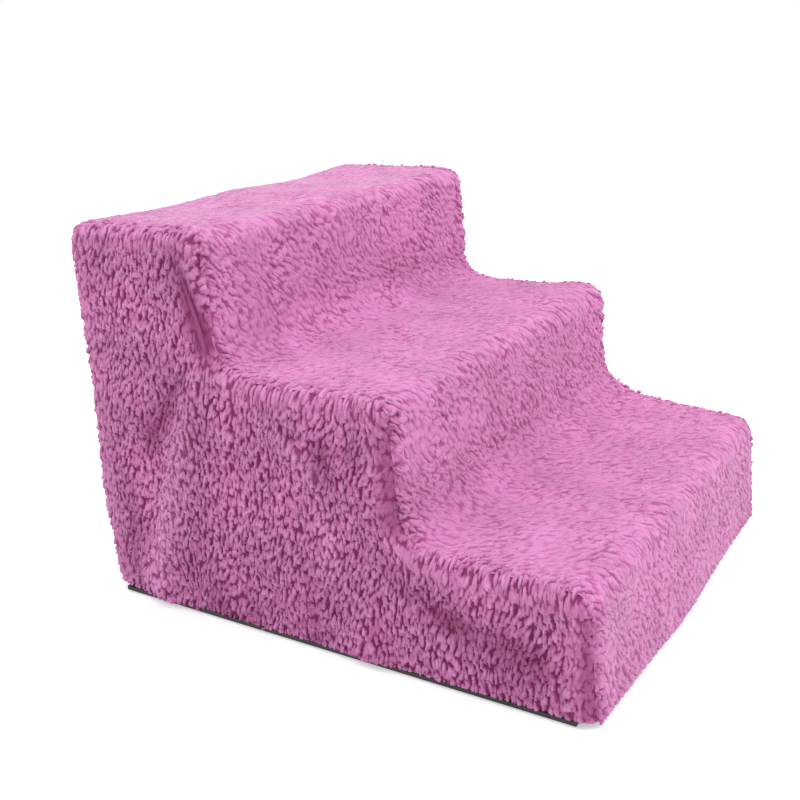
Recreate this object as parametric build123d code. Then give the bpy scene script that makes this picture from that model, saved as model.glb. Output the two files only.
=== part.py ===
from build123d import *
import os

os.makedirs("parts", exist_ok=True)

# Pet stairs of three steps: a snap-together plastic frame under a slip-on cloth cover.
# Millimetres. X runs across the steps, the lowest step faces -Y, +Z is up.
# The origin is on the floor under the middle of the whole object.

# Whole object, measured over the cloth
cover_length = 450.0
cover_width = 372.0
cover_height = 316.0
lower_step_height = 100.0
middle_step_height = 208.0
middle_tread_depth = 156.0
upper_tread_depth = 142.0

# Cloth cover
cloth = 8.0
nosing_radius = 16.0
foot_radius = 30.0
side_edge_radius = 14.0
riser_lean = 4.0
fold_rise = 5.0
fold_sink = 1.0
back_fold_rise = 3.0
hem_gap = 0.5
hem_tape_width = 12.0
tape_thickness = 0.8
seam_tape_width = 10.0

# Air between the cloth and the frame
tread_gap = 0.3
side_gap = 2.0
riser_gap = 2.0

# Plastic mouldings
board = 3.0
web = 2.5
flange_depth = 18.0
rib = 2.0
side_rib_depth = 9.0
tread_rib_depth = 12.0
riser_rim_depth = 10.0
long_ribs = 2
cross_ribs = 6
nosing_drop = 12.0
rim_clearance = 0.5
base_lip_thickness = 3.5
base_lip_margin = 1.0
window_border = 12.0
window_corner = 7.0
back_rail_height = 64.0
base_rail_width = 34.0
base_rail_height = 18.0
panel_columns = (4, 4, 3)
panel_rows = (2, 4, 5)

# Snap rivets
rivet_head_radius = 6.0
rivet_head_thickness = 1.5
rivet_head_sides = 6
rivet_shank_width = 5.0
rivet_tip_length = 3.0
rivet_clearance = 0.05
rivet_setback = 28.0

# Rubber feet
foot_height = 1.5
foot_pad_radius = 8.0
foot_pad_sides = 8
foot_stem_width = 5.0
foot_stem_length = 4.5
foot_inset = 26.0

# Hook-and-loop patches
patch_length = 50.0
patch_height = 25.0
patch_thickness = 0.8
patch_base = 24.0

# How far a cut runs past the material
overrun = 1.0

# Faces of the cover, worked out from the sizes above
hem_height = foot_height + base_lip_thickness + hem_gap
cover_front = -cover_length / 2
cover_back = cover_length / 2 - back_fold_rise
cover_side = cover_width / 2 - fold_rise
seam_x = cover_side - cloth
upper_nosing = cover_length / 2 - upper_tread_depth
middle_nosing = upper_nosing - middle_tread_depth
lower_nosing = cover_front + riser_lean
step_heights = [lower_step_height, middle_step_height, cover_height]
nosings = [lower_nosing, middle_nosing, upper_nosing]

# Faces of the frame under it
frame_side = seam_x - side_gap
frame_back = cover_back - cloth - riser_gap
riser_fronts = [nosing + cloth + riser_gap for nosing in nosings]
tread_tops = [height - cloth - tread_gap for height in step_heights]
inner_side = frame_side - flange_depth
rivet_x = frame_side - flange_depth / 2
nosing_outer = nosing_radius - cloth
nosing_inner = nosing_outer - board

# Folds of the hanging cloth. Each row is the fold's top as shares of the wall's length and the
# cover's height, its foot as a share of the length, its width as a share and its rise as a share
left_fold_shares = [
    (0.215, 0.60, 0.350, 0.160, 1.0),
    (0.115, 0.60, -0.060, 0.140, 0.8),
    (-0.200, 0.26, -0.320, 0.120, 0.8),
]
right_fold_shares = [
    (0.240, 0.62, 0.340, 0.150, 1.0),
    (0.120, 0.58, -0.040, 0.140, 0.8),
    (-0.230, 0.25, -0.330, 0.120, 0.7),
]
back_fold_shares = [
    (-0.270, 0.62, -0.290, 0.200, 1.0),
    (0.020, 0.50, 0.045, 0.190, 0.7),
    (0.280, 0.66, 0.250, 0.200, 1.0),
]


def block(x_start, x_end, y_start, y_end, z_start, z_end):
    """Box between two corners."""
    box = Box(x_end - x_start, y_end - y_start, z_end - z_start)
    return Pos((x_start + x_end) / 2, (y_start + y_end) / 2, (z_start + z_end) / 2) * box


def along_x(face, x_start, x_end):
    """Prism of a face drawn in Y and Z, from one X to another."""
    return extrude(Plane.YZ.offset(x_start) * face, amount=x_end - x_start)


def outline(corners):
    """Face inside a closed outline of (y, z, radius) corners."""
    points = [(y, z) for y, z, radius in corners]
    radii = [radius for y, z, radius in corners]
    return make_face(FilletPolyline(*points, radius=radii, close=True).edges())


def mirrored(shape):
    """The same shape on the other side of the stairs."""
    return mirror(shape, about=Plane.YZ)


def group(pieces):
    """Separate solids of one node."""
    return Compound(children=[solid for piece in pieces for solid in piece.solids()])


def front_face(inset, height):
    """Where the leaning lowest riser of the cover, or its inside, lies at a height."""
    rise = lower_step_height - hem_height
    return lower_nosing + inset - riser_lean * (lower_step_height - inset - height) / rise


def cover_outline(inset, bottom):
    """Side view of the cover, or of its inside when inset by the cloth."""
    outer = max(nosing_radius - inset, 0)
    foot = foot_radius + inset
    corners = [(front_face(inset, bottom), bottom, 0)]
    for step, nosing in enumerate(nosings):
        top = step_heights[step] - inset
        corners.append((nosing + inset, top, outer))
        if nosing != nosings[-1]:
            corners.append((nosings[step + 1] - riser_lean + inset, top, foot))
    corners.append((cover_back - inset, cover_height - inset, outer))
    corners.append((cover_back - inset, bottom, 0))
    return outline(corners)


def panel_outline(inset):
    """Side view of a side panel, under the treads and behind the risers."""
    wall = board + inset
    inner = nosing_inner - inset
    corners = [(riser_fronts[0] + wall, foot_height + inset, 0)]
    for step, front in enumerate(riser_fronts):
        top = tread_tops[step] - wall
        corners.append((front + wall, top, inner))
        if front != riser_fronts[-1]:
            corners.append((riser_fronts[step + 1] + wall, top, 0))
    corners.append((frame_back - wall, cover_height - cloth - tread_gap - wall, inner))
    corners.append((frame_back - wall, foot_height + inset, 0))
    return outline(corners)


def fold(shares, wall_length, wall_place, outward, full_rise, depth):
    """Swell of cloth: a long cylinder that leans out of the wall, nothing at its top, full at the hem."""
    top_share, height_share, foot_share, width_share, rise_share = shares
    along = Vector(1, 0, 0) if outward.Y else Vector(0, 1, 0)
    rise = full_rise * rise_share
    half_width = width_share * wall_length / 2
    radius = (half_width**2 + rise**2) / (2 * rise)
    top = along * (top_share * wall_length) + outward * (depth - radius)
    top += wall_place + Vector(0, 0, height_share * cover_height)
    foot = along * (foot_share * wall_length) + outward * (depth + rise - radius)
    foot += wall_place + Vector(0, 0, hem_height)
    lean = foot - top
    length = lean.length + half_width
    axis = Plane(origin=top, z_dir=lean)
    return axis * Cylinder(radius, length, align=(Align.CENTER, Align.CENTER, Align.MIN))


def folded(wall, room, fold_shares, wall_length, wall_place, outward, full_rise):
    """A cloth wall with its folds standing out in the room, as thick on a fold as beside it."""
    for shares in fold_shares:
        wall += fold(shares, wall_length, wall_place, outward, full_rise, 0) & room
    for shares in fold_shares:
        wall -= fold(shares, wall_length, wall_place, outward, full_rise, -cloth)
    return wall


def cover_shell():
    """The whole cover before it is parted along its seams."""
    shell = along_x(cover_outline(0, hem_height), -cover_side, cover_side)
    ends = shell.faces().filter_by(Axis.X).edges()
    rounded = [edge for edge in ends if edge.center().Z > hem_height + overrun]
    shell = fillet(rounded, side_edge_radius)
    return shell - along_x(cover_outline(cloth, -overrun), -seam_x, seam_x)


def make_cover():
    """Strip over the steps, back panel and the two side panels."""
    shell = cover_shell()
    behind = cover_back - cloth
    back_top = cover_height - nosing_radius
    across = (-seam_x, seam_x)
    back_space = block(*across, behind, cover_length, 0, back_top)
    between = block(*across, -cover_length, cover_length, 0, 2 * cover_height)
    strip = (shell & between) - back_space
    back = shell & back_space
    room = block(*across, cover_back - fold_sink, cover_length, hem_height, back_top)
    place = Vector(0, cover_back, 0)
    back = folded(
        back, room, back_fold_shares, cover_width, place, Vector(0, 1, 0), back_fold_rise
    )
    sides = []
    along = (-cover_length, cover_length, hem_height, cover_height)
    for direction, fold_shares in ((-1, left_fold_shares), (1, right_fold_shares)):
        reach = direction * cover_width
        side = shell & block(*sorted((direction * seam_x, reach)), *along)
        room = block(*sorted((direction * (cover_side - fold_sink), reach)), *along)
        place = Vector(direction * cover_side, 0, 0)
        outward = Vector(direction, 0, 0)
        sides.append(folded(side, room, fold_shares, cover_length, place, outward, fold_rise))
    return strip, back, sides[0], sides[1]


def make_seam_tape():
    """Tape along the seam between a side panel and the strip, inside the cover."""
    lower = hem_height + hem_tape_width
    band = cover_outline(cloth, lower) - cover_outline(cloth + seam_tape_width, lower - overrun)
    return along_x(band, seam_x - tape_thickness, seam_x)


def make_hem_tape():
    """Tape round the inside of the hem."""
    top = hem_height + hem_tape_width
    inside = seam_x - tape_thickness
    outer = along_x(cover_outline(cloth, hem_height), -seam_x, seam_x)
    inner = along_x(cover_outline(cloth + tape_thickness, hem_height - overrun), -inside, inside)
    level = block(-cover_width, cover_width, -cover_length, cover_length, hem_height, top)
    return (outer - inner) & level


def patch_places():
    """Middle of each patch on one side panel, along Y, and on the back, along X."""
    return (riser_fronts[0] + patch_length, frame_back - patch_length), (-frame_side / 2, frame_side / 2)


def make_patches(inner_face_x, inner_face_y):
    """Fastener patches that stand on the given side and back faces."""
    on_sides, on_back = patch_places()
    top = patch_base + patch_height
    half = patch_length / 2
    pieces = []
    for y in on_sides:
        patch = block(inner_face_x, inner_face_x + patch_thickness, y - half, y + half, patch_base, top)
        pieces += [patch, mirrored(patch)]
    for x in on_back:
        pieces.append(
            block(x - half, x + half, inner_face_y, inner_face_y + patch_thickness, patch_base, top)
        )
    return group(pieces)


def stud(pad_radius, pad_sides, pad_height, stem_width, length):
    """Flat many-sided pad standing at the origin, with a square stem out of it."""
    pad = extrude(RegularPolygon(pad_radius, pad_sides), amount=pad_height)
    stem = extrude(Rectangle(stem_width, stem_width), amount=length - pad_height)
    return pad + Pos(0, 0, pad_height) * stem


def rivet(grip):
    """Snap rivet, head down at the origin, through a stack as thick as the grip."""
    length = grip + rivet_tip_length
    return stud(rivet_head_radius, rivet_head_sides, rivet_head_thickness, rivet_shank_width, length)


def rivet_hole(grip):
    """What a rivet of the same grip needs cut out."""
    radius = rivet_head_radius + rivet_clearance
    width = rivet_shank_width + 2 * rivet_clearance
    depth = rivet_head_thickness + overrun
    length = depth + grip + rivet_tip_length
    return Pos(0, 0, -overrun) * stud(radius, rivet_head_sides, depth, width, length)


def rivet_frames():
    """Where each rivet goes: the frame of its head, facing into the stack."""
    frames = {"tread": [], "riser": [], "back": [], "base": []}
    for x in (-rivet_x, rivet_x):
        for step, front in enumerate(riser_fronts):
            rear = tread_rear(step)
            for y in (front + rivet_setback, rear - rivet_setback):
                frames["tread"].append(Plane((x, y, tread_tops[step]), x_dir=(1, 0, 0), z_dir=(0, 0, -1)))
            middle = (riser_bottom(step) + tread_tops[step] - nosing_drop) / 2
            frames["riser"].append(Plane((x, front, middle), x_dir=(1, 0, 0), z_dir=(0, 1, 0)))
        for bottom in back_rail_bottoms():
            for height in (bottom + back_rail_height / 4, bottom + 3 * back_rail_height / 4):
                frames["back"].append(Plane((x, frame_back, height), x_dir=(1, 0, 0), z_dir=(0, -1, 0)))
        seat = foot_height + web + board
        frames["base"].append(Plane((x, base_rail_middle(), seat), x_dir=(1, 0, 0), z_dir=(0, 0, -1)))
    return frames


def tread_rear(step):
    """Where a tread ends: under the next riser, or at the back."""
    return frame_back if step == len(riser_fronts) - 1 else riser_fronts[step + 1] + board


def riser_bottom(step):
    """A riser stands on the tread below it, the lowest on the level of the feet."""
    return foot_height if step == 0 else tread_tops[step - 1]


def back_rail_bottoms():
    """Lower edges of the lower and the upper back rail."""
    return foot_height, tread_tops[-1] - nosing_drop - back_rail_height


def base_rail_middle():
    """The base rail lies between two ribs of the side panels, under the middle tread."""
    start = riser_fronts[1] + board
    pitch = (riser_fronts[2] + board - start) / panel_columns[1]
    return start + pitch * (panel_columns[1] // 2 + 1 / 2)


def rivet_grips():
    """Thickness that each kind of rivet holds together."""
    return {
        "tread": board + web,
        "riser": board + web,
        "back": board + web,
        "base": board + web - rivet_tip_length,
    }


def drilled(shape, kinds):
    """A moulding with the holes of the named kinds of rivet that pass through it."""
    grips = rivet_grips()
    frames = rivet_frames()
    for kind in kinds:
        for frame in frames[kind]:
            shape -= frame * rivet_hole(grips[kind])
    return shape


def make_rivets():
    """All snap rivets, as separate solids."""
    grips = rivet_grips()
    pieces = []
    for kind, frames in rivet_frames().items():
        pieces += [frame * rivet(grips[kind]) for frame in frames]
    return group(pieces)


def foot_places():
    """Middle of each foot along one side panel."""
    first = riser_fronts[0] + foot_inset
    last = frame_back - foot_inset
    return [first + (last - first) * count / 3 for count in range(4)]


def make_feet():
    """Rubber feet with their stems pushed up through the side panels."""
    pieces = []
    for x in (-rivet_x, rivet_x):
        for y in foot_places():
            foot = stud(foot_pad_radius, foot_pad_sides, foot_height, foot_stem_width, foot_stem_length)
            pieces.append(Pos(x, y, 0) * foot)
    return group(pieces)


def window(y, z, width, height):
    """Window with cut corners through a side panel."""
    opening = Rectangle(width, height)
    opening = chamfer(opening.vertices(), window_corner)
    return along_x(Pos(y, z) * opening, inner_side, frame_side + overrun)


def panel_grid():
    """Windows and ribs of a side panel, laid out under each tread."""
    windows = []
    ribs = []
    web_inside = frame_side - web
    floor = foot_height + web
    for step, front in enumerate(riser_fronts):
        start = front + board
        end = frame_back - board if step == len(riser_fronts) - 1 else riser_fronts[step + 1] + board
        top = tread_tops[step] - board - web
        pitch_y = (end - start) / panel_columns[step]
        pitch_z = (top - floor) / panel_rows[step]
        for column in range(panel_columns[step]):
            y = start + pitch_y * (column + 1)
            ribs.append(block(inner_side, web_inside, y - rib / 2, y + rib / 2, floor, top + web))
            for row in range(panel_rows[step]):
                middle = (start + pitch_y * (column + 1 / 2), floor + pitch_z * (row + 1 / 2))
                windows.append(window(*middle, pitch_y - window_border, pitch_z - window_border))
        for row in range(1, panel_rows[step]):
            z = floor + pitch_z * row
            ribs.append(
                block(web_inside - side_rib_depth, web_inside, start, end, z - rib / 2, z + rib / 2)
            )
    return windows, ribs


def make_side_panel():
    """Right side panel: a windowed web with a rim, ribs and a lip that runs out under the hem."""
    face = panel_outline(0)
    inner_face = panel_outline(web)
    web_inside = frame_side - web
    panel = along_x(face, inner_side, frame_side)
    panel -= along_x(inner_face, inner_side - overrun, web_inside)
    windows, ribs = panel_grid()
    room = along_x(face, inner_side, web_inside)
    for piece in ribs:
        panel += piece & room
    for piece in windows:
        panel -= piece
    lip_out = cover_side - base_lip_margin
    panel += block(
        web_inside,
        lip_out,
        riser_fronts[0] + board,
        frame_back - board,
        foot_height,
        foot_height + base_lip_thickness,
    )
    for y in foot_places():
        width = foot_stem_width + 2 * rivet_clearance
        panel -= Pos(rivet_x, y, foot_height + web / 2) * Box(width, width, foot_stem_length)
    return drilled(panel, ("tread", "riser", "back", "base"))


def rib_rows(start, end, count):
    """Middles of evenly spaced ribs between two walls."""
    pitch = (end - start) / (count + 1)
    return [start + pitch * (number + 1) for number in range(count)]


def make_tread(step):
    """Tread board with a rolled nosing and a rim and ribs under it."""
    front = riser_fronts[step]
    rear = tread_rear(step)
    top = tread_tops[step]
    last = step == len(riser_fronts) - 1
    section = [(front, top - nosing_drop, 0), (front, top, nosing_outer)]
    if last:
        section += [(rear, top, nosing_outer), (rear, top - nosing_drop, 0)]
        section += [(rear - board, top - nosing_drop, 0), (rear - board, top - board, nosing_inner)]
    else:
        section += [(rear, top, 0), (rear, top - board, 0)]
    section += [(front + board, top - board, nosing_inner), (front + board, top - nosing_drop, 0)]
    tread = along_x(outline(section), -frame_side, frame_side)
    half = inner_side - rim_clearance
    rim_front = front + board + riser_rim_depth + rim_clearance
    rim_rear = rear - board - riser_rim_depth - rim_clearance if last else rear - board
    low = top - board - tread_rib_depth
    under = top - board
    rim = block(-half, half, rim_front, rim_rear, low, under)
    rim -= block(-half + rib, half - rib, rim_front + rib, rim_rear - rib, low - overrun, under)
    tread += rim
    for y in rib_rows(rim_front, rim_rear, long_ribs):
        tread += block(-half + rib, half - rib, y - rib / 2, y + rib / 2, low, under)
    for x in rib_rows(-half, half, cross_ribs):
        tread += block(x - rib / 2, x + rib / 2, rim_front + rib, rim_rear - rib, low, under)
    return drilled(tread, ("tread",))


def pan(y_face, inward, bottom, top):
    """Upright board with a rim and ribs behind it, standing between or against the side panels."""
    faces = sorted((y_face, y_face + inward * board))
    plate = block(-frame_side, frame_side, *faces, bottom, top)
    half = inner_side - rim_clearance
    behind = y_face + inward * board
    depth = sorted((behind, behind + inward * riser_rim_depth))
    rim = block(-half, half, *depth, bottom, top)
    rim -= block(-half + rib, half - rib, *depth, bottom + rib, top - rib)
    plate += rim
    for x in rib_rows(-half, half, cross_ribs):
        plate += block(x - rib / 2, x + rib / 2, *depth, bottom + rib, top - rib)
    middle = (bottom + top) / 2
    plate += block(-half + rib, half - rib, *depth, middle - rib / 2, middle + rib / 2)
    return plate


def make_riser(step):
    """Riser between the tread below it and the nosing above it."""
    riser = pan(riser_fronts[step], 1, riser_bottom(step), tread_tops[step] - nosing_drop)
    return drilled(riser, ("riser",))


def make_back_rail(bottom):
    """Rail across the back."""
    return drilled(pan(frame_back, -1, bottom, bottom + back_rail_height), ("back",))


def make_base_rail():
    """Open channel that ties the feet of the side panels."""
    half = frame_side - web
    bottom = foot_height + web
    front = base_rail_middle() - base_rail_width / 2
    rear = base_rail_middle() + base_rail_width / 2
    rail = block(-half, half, front, rear, bottom, bottom + base_rail_height)
    rail -= block(
        -half - overrun,
        half + overrun,
        front + rib,
        rear - rib,
        bottom + board,
        bottom + base_rail_height + overrun,
    )
    return drilled(rail, ("base",))


def build():
    """Every node of the stairs by name."""
    strip, back, side_left, side_right = make_cover()
    panel = make_side_panel()
    tape = make_seam_tape()
    lower_rail, upper_rail = [make_back_rail(bottom) for bottom in back_rail_bottoms()]
    steps = ("lower", "middle", "upper")
    nodes = {
        "side_panel_left": mirrored(panel),
        "side_panel_right": panel,
        "back_rail_lower": lower_rail,
        "back_rail_upper": upper_rail,
        "base_rail": make_base_rail(),
        "snap_rivets": make_rivets(),
        "rubber_feet": make_feet(),
        "hook_patches": make_patches(frame_side, frame_back),
        "cover_step_strip": strip,
        "cover_back_panel": back,
        "cover_side_left": side_left,
        "cover_side_right": side_right,
        "seam_tape_left": mirrored(tape),
        "seam_tape_right": tape,
        "hem_tape": make_hem_tape(),
        "loop_patches": make_patches(seam_x - patch_thickness, cover_back - cloth - patch_thickness),
    }
    for step, name in enumerate(steps):
        nodes["tread_" + name] = make_tread(step)
        nodes["riser_" + name] = make_riser(step)
    return nodes


for node, shape in build().items():
    export_step(shape, "parts/" + node + ".step")
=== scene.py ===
import math
from functools import partialmethod

import bpy
import numpy as np
from mathutils import Matrix, Vector
from mathutils.geometry import delaunay_2d_cdt


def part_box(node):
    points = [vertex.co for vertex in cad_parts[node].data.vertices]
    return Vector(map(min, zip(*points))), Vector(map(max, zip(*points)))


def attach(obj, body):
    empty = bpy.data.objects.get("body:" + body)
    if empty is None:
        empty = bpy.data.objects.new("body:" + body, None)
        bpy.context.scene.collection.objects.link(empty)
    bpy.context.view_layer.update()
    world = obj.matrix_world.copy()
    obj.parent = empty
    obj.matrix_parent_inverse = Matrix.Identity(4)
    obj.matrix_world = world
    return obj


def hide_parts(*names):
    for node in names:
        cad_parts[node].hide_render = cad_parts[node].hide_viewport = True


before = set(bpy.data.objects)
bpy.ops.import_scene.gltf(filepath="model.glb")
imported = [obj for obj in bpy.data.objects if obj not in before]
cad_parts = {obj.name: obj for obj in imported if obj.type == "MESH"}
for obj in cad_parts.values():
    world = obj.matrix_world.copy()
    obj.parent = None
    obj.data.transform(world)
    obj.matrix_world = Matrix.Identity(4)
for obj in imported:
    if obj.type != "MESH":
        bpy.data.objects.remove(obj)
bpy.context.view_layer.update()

MM = 0.001

# The cover, over its pile
COVER_BACK = 222 * MM
COVER_SIDE = 181 * MM
STEP_HEIGHTS = (100 * MM, 208 * MM, 316 * MM)
NOSINGS = (-221 * MM, -73 * MM, 83 * MM)
UPPER_RISER_FOOT = 212 * MM
RISER_LEAN = 4 * MM
NOSING_RADIUS = 16 * MM
FOOT_RADIUS = 30 * MM
EDGE_RADIUS = 14 * MM
HEM_HEIGHT = 5.5 * MM
CLOTH = 8 * MM
SEAM_ACROSS = 173 * MM
BACK_TOP = 303 * MM

# The knitted backing under the pile
PILE_DEPTH = 5 * MM
BACKING_THICKNESS = 2.2 * MM
MESH_STEP = 4 * MM
SIDE_STEP = 4.2 * MM
BACK_STEP = 4.4 * MM
ARC_STEPS = 7
SEAM_LAP = math.radians(9)
SEAM_ANGLE = math.asin((SEAM_ACROSS - COVER_SIDE + EDGE_RADIUS) / EDGE_RADIUS)

# Folds and dents of the hanging cloth: top (two numbers), foot (two), half widths at both, rise, all in mm
LEFT_FOLDS = (
    (93, 214, 160, 24, 10, 17, 9.5),
    (110, 209, 157, 146, 8, 12, -3.0),
    (182, 104, 202, 20, 9, 14, -3.0),
    (77, 207, -8, 147, 5, 8, 4.5),
    (-8, 147, -18, 70, 8, 12, 3.0),
    (-16, 190, -14, 150, 8, 10, -3.0),
    (-45, 196, -44, 160, 8, 9, -3.0),
    (-60, 92, -112, 57, 9, 13, -3.5),
    (-112, 57, -200, 35, 14, 16, -3.5),
    (-36, 56, -46, 0, 16, 22, 3.0),
)
RIGHT_FOLDS = (
    (112, 216, 156, 0, 12, 22, 5.0),
    (146, 200, 200, 10, 10, 16, -2.5),
    (58, 180, -18, 0, 12, 24, 4.0),
    (-100, 76, -148, 0, 12, 22, 3.0),
)
BACK_FOLDS = (
    (-98, 210, -104, 0, 14, 28, 3.0),
    (8, 170, 16, 0, 14, 26, 2.0),
    (100, 220, 92, 0, 14, 28, 3.0),
    (-50, 190, -46, 0, 14, 22, -2.0),
    (54, 190, 52, 0, 14, 22, -2.0),
)
# Where painted shade darkens the left side's pile in its hollows, and where painted highlight lightens it on its
# crests, with the share for a rise
LEFT_PAINTED_SHADE = (
    (108, 212, 157, 146, 8, 13, 0.95),
    (181, 104, 200, 28, 10, 15, 0.85),
    (-15, 200, -13, 152, 8, 11, 0.75),
    (-43, 204, -44, 160, 8, 11, 0.85),
    (-70, 208, -72, 176, 7, 9, 0.7),
    (-73, 124, -76, 104, 8, 9, 0.7),
    (-56, 96, -112, 57, 10, 15, 0.9),
    (-112, 57, -200, 34, 17, 19, 1.0),
    (110, 54, 96, 6, 11, 18, 0.7),
    (70, 46, 66, 8, 9, 13, 0.5),
    (8, 80, 6, 8, 9, 13, 0.5),
    (-50, 60, -54, 10, 8, 12, 0.4),
)
# Painted highlight along the crests of the left side's folds
LEFT_PAINTED_HIGHLIGHTS = (
    (95, 216, 156, 40, 9, 13, 0.8),
    (77, 207, -7, 147, 4, 6, 0.7),
    (-7, 147, -17, 74, 6, 9, 0.4),
    (190, 280, 216, 170, 30, 26, 0.5),
)
# Valleys that the seams pull in the sides, behind the risers, with shorter pile and painted shade: top and foot,
# half width in mm, share
SEAM_GROOVES = (
    ((107, 298), (90, 226), 7, 1.0),
    ((-66, 196), (-70, 116), 7, 0.68),
    ((-212, 86), (-215, 10), 4, 0.7),
)
# Ridges of the seams in the upper valleys: name, place across, top and foot, in mm
WELTS = (
    ("left", -177.6, (106, 302), (89, 222)),
    ("right", 177.6, (99, 302), (78, 222)),
)
# Swells at the far ends of the steps: (y, z) and rise
FAR_BUMPS = (
    (NOSINGS[1] - 12 * MM, STEP_HEIGHTS[0] + 8 * MM, 6 * MM),
    (NOSINGS[2] - 12 * MM, STEP_HEIGHTS[1] + 8 * MM, 5 * MM),
    (NOSINGS[1] + 14 * MM, STEP_HEIGHTS[1], 4 * MM),
)

# Sizes of the clumps of the nap, of the loose curls and of small threads
NAP_SIZES = ("Clump Width", "Clump Length", "Lift", "Depth", "Lean", "Wander", "Fuzz")
SIDE_NAP = dict(zip(NAP_SIZES, (2.6 * MM, 6.4 * MM, 2.9 * MM, 3.3 * MM, 0.6, 1.4, 0.7 * MM)))
STEP_NAP = dict(zip(NAP_SIZES, (3.0 * MM, 6.8 * MM, 3.0 * MM, 3.3 * MM, 0.5, 2.0, 0.7 * MM)))
CURL_SIZES = ("Pitch", "Length", "Width", "Rise", "Turn", "Tilt", "Roughen")
CURLS = dict(zip(CURL_SIZES, (2.5 * MM, 4.8 * MM, 2.6 * MM, 5.4 * MM, 1.1, 0.3, 1.6 * MM)))
BEND = ("Start", "Middle", "End")
THREAD_SIZES = (*BEND, "Radius", "Uneven")
STITCH = dict(zip(THREAD_SIZES, ((-1.1 * MM, 0, 0), (0, 0, 0.45 * MM), (1.1 * MM, 0, 0), 0.17 * MM, 0.12)))
HOOKED = dict(zip(THREAD_SIZES, ((0, 0, 0), (0.1 * MM, 0, 0.78 * MM), (0.55 * MM, 0, 0.12 * MM), 0.07 * MM, 0.15)))
LOOPED = dict(zip(THREAD_SIZES, ((-0.5 * MM, 0, 0), (0, 0.3 * MM, 0.62 * MM), (0.45 * MM, 0, 0), 0.06 * MM, 0.3)))
THREADS_SEED = 5

# Tapes and patches
TAPE_THICKNESS = 0.8 * MM
TAPE_BOARD = 0.6 * MM
STITCH_PITCH = 3.0 * MM
PATCH_STITCH_PITCH = 2.7 * MM
PATCH_SIZE = np.array((50 * MM, 25 * MM))
PATCH_CORNER = 3 * MM
PATCH_MIDDLE = 36.5 * MM
PATCH_BOARD = 0.36 * MM
PATCH_LIFT = 0.2 * MM
PATCH_GAP = 2 * MM
HOOK_PITCH = 1.7 * MM

# The camera that took the photo
CAMERA_ANGLES = (-59.23, 16.49, -2.65)
CAMERA_PLACE = (-0.7313, -0.4709, 0.4488)
CAMERA_LENS = 48.5
CAMERA_SHIFT = (-0.0914, -0.0720)


def ramp(value, span):
    """Share that rises from 0 to 1 over a span in mm."""
    return np.clip(value / (span * MM), 0, 1)


def fading(value, span):
    return np.clip(1 - value / (span * MM), 0, 1)


def bell(value, width):
    return np.exp(-((value / (width * MM)) ** 2))


def step_corners(inset):
    """Corners (y, z, radius) of the cover's side view, at a depth in the pile."""
    rise = STEP_HEIGHTS[0] - HEM_HEIGHT
    front = NOSINGS[0] + inset - RISER_LEAN * (STEP_HEIGHTS[0] - inset - HEM_HEIGHT) / rise
    nosing = max(NOSING_RADIUS - inset, MM)
    corners = [(front, HEM_HEIGHT, 0)]
    for step, y in enumerate(NOSINGS):
        top = STEP_HEIGHTS[step] - inset
        corners.append((y + inset, top, nosing))
        if step < len(NOSINGS) - 1:
            corners.append((NOSINGS[step + 1] - RISER_LEAN + inset, top, FOOT_RADIUS + inset))
    corners.append((COVER_BACK - inset, STEP_HEIGHTS[-1] - inset, nosing))
    corners.append((COVER_BACK - inset, HEM_HEIGHT, 0))
    return corners


def step_runs(inset):
    """Runs (start, end) and arcs (centre, radius, first angle, turn) of the side view."""
    corners = step_corners(inset)
    runs = []
    here = np.array(corners[0][:2])
    for before, corner, after in zip(corners, corners[1:], corners[2:]):
        point = np.array(corner[:2])
        back = np.array(before[:2]) - point
        ahead = np.array(after[:2]) - point
        back /= np.linalg.norm(back)
        ahead /= np.linalg.norm(ahead)
        half = math.acos(float(back @ ahead)) / 2
        reach = corner[2] / math.tan(half)
        start = point + back * reach
        bisector = (back + ahead) / np.linalg.norm(back + ahead)
        centre = point + bisector * corner[2] / math.sin(half)
        spoke = start - centre
        first = math.atan2(spoke[1], spoke[0])
        spoke = point + ahead * reach - centre
        turn = (math.atan2(spoke[1], spoke[0]) - first + math.pi) % (2 * math.pi) - math.pi
        runs.append(("straight", here, start))
        runs.append(("arc", centre, corner[2], first, turn))
        here = point + ahead * reach
    runs.append(("straight", here, np.array(corners[-1][:2])))
    return runs


RUN_COUNTS = [
    ARC_STEPS if run[0] == "arc" else max(2, round(np.linalg.norm(run[2] - run[1]) / MESH_STEP))
    for run in step_runs(0)
]
# The strip ends where the last run, down the back, begins
STRIP_ROWS = 1 + sum(RUN_COUNTS[:-1])


def side_view(inset):
    """Points (y, z) over the steps and down the back, as many at every inset."""
    points = []
    for run, count in zip(step_runs(inset), RUN_COUNTS):
        for share in np.arange(count) / count:
            if run[0] == "straight":
                points.append(run[1] + (run[2] - run[1]) * share)
            else:
                angle = run[3] + run[4] * share
                points.append(run[1] + run[2] * np.array((math.cos(angle), math.sin(angle))))
    points.append(step_runs(inset)[-1][2])
    return np.array(points)


def outward(points):
    """Outward normals of a side view's points."""
    along = np.gradient(points, axis=0)
    along /= np.linalg.norm(along, axis=1)[:, None]
    return np.stack((-along[:, 1], along[:, 0]), axis=1)


def lengths_along(points):
    """Length of a line of points up to each of them."""
    return np.concatenate(([0], np.cumsum(np.linalg.norm(np.diff(points, axis=0), axis=1))))


def edge_place(angle):
    """How far across, and how deep, the backing lies on the rounded edge at an angle."""
    radius = EDGE_RADIUS - PILE_DEPTH
    across = COVER_SIDE - EDGE_RADIUS + radius * math.sin(angle)
    return across, EDGE_RADIUS - radius * math.cos(angle)


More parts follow.
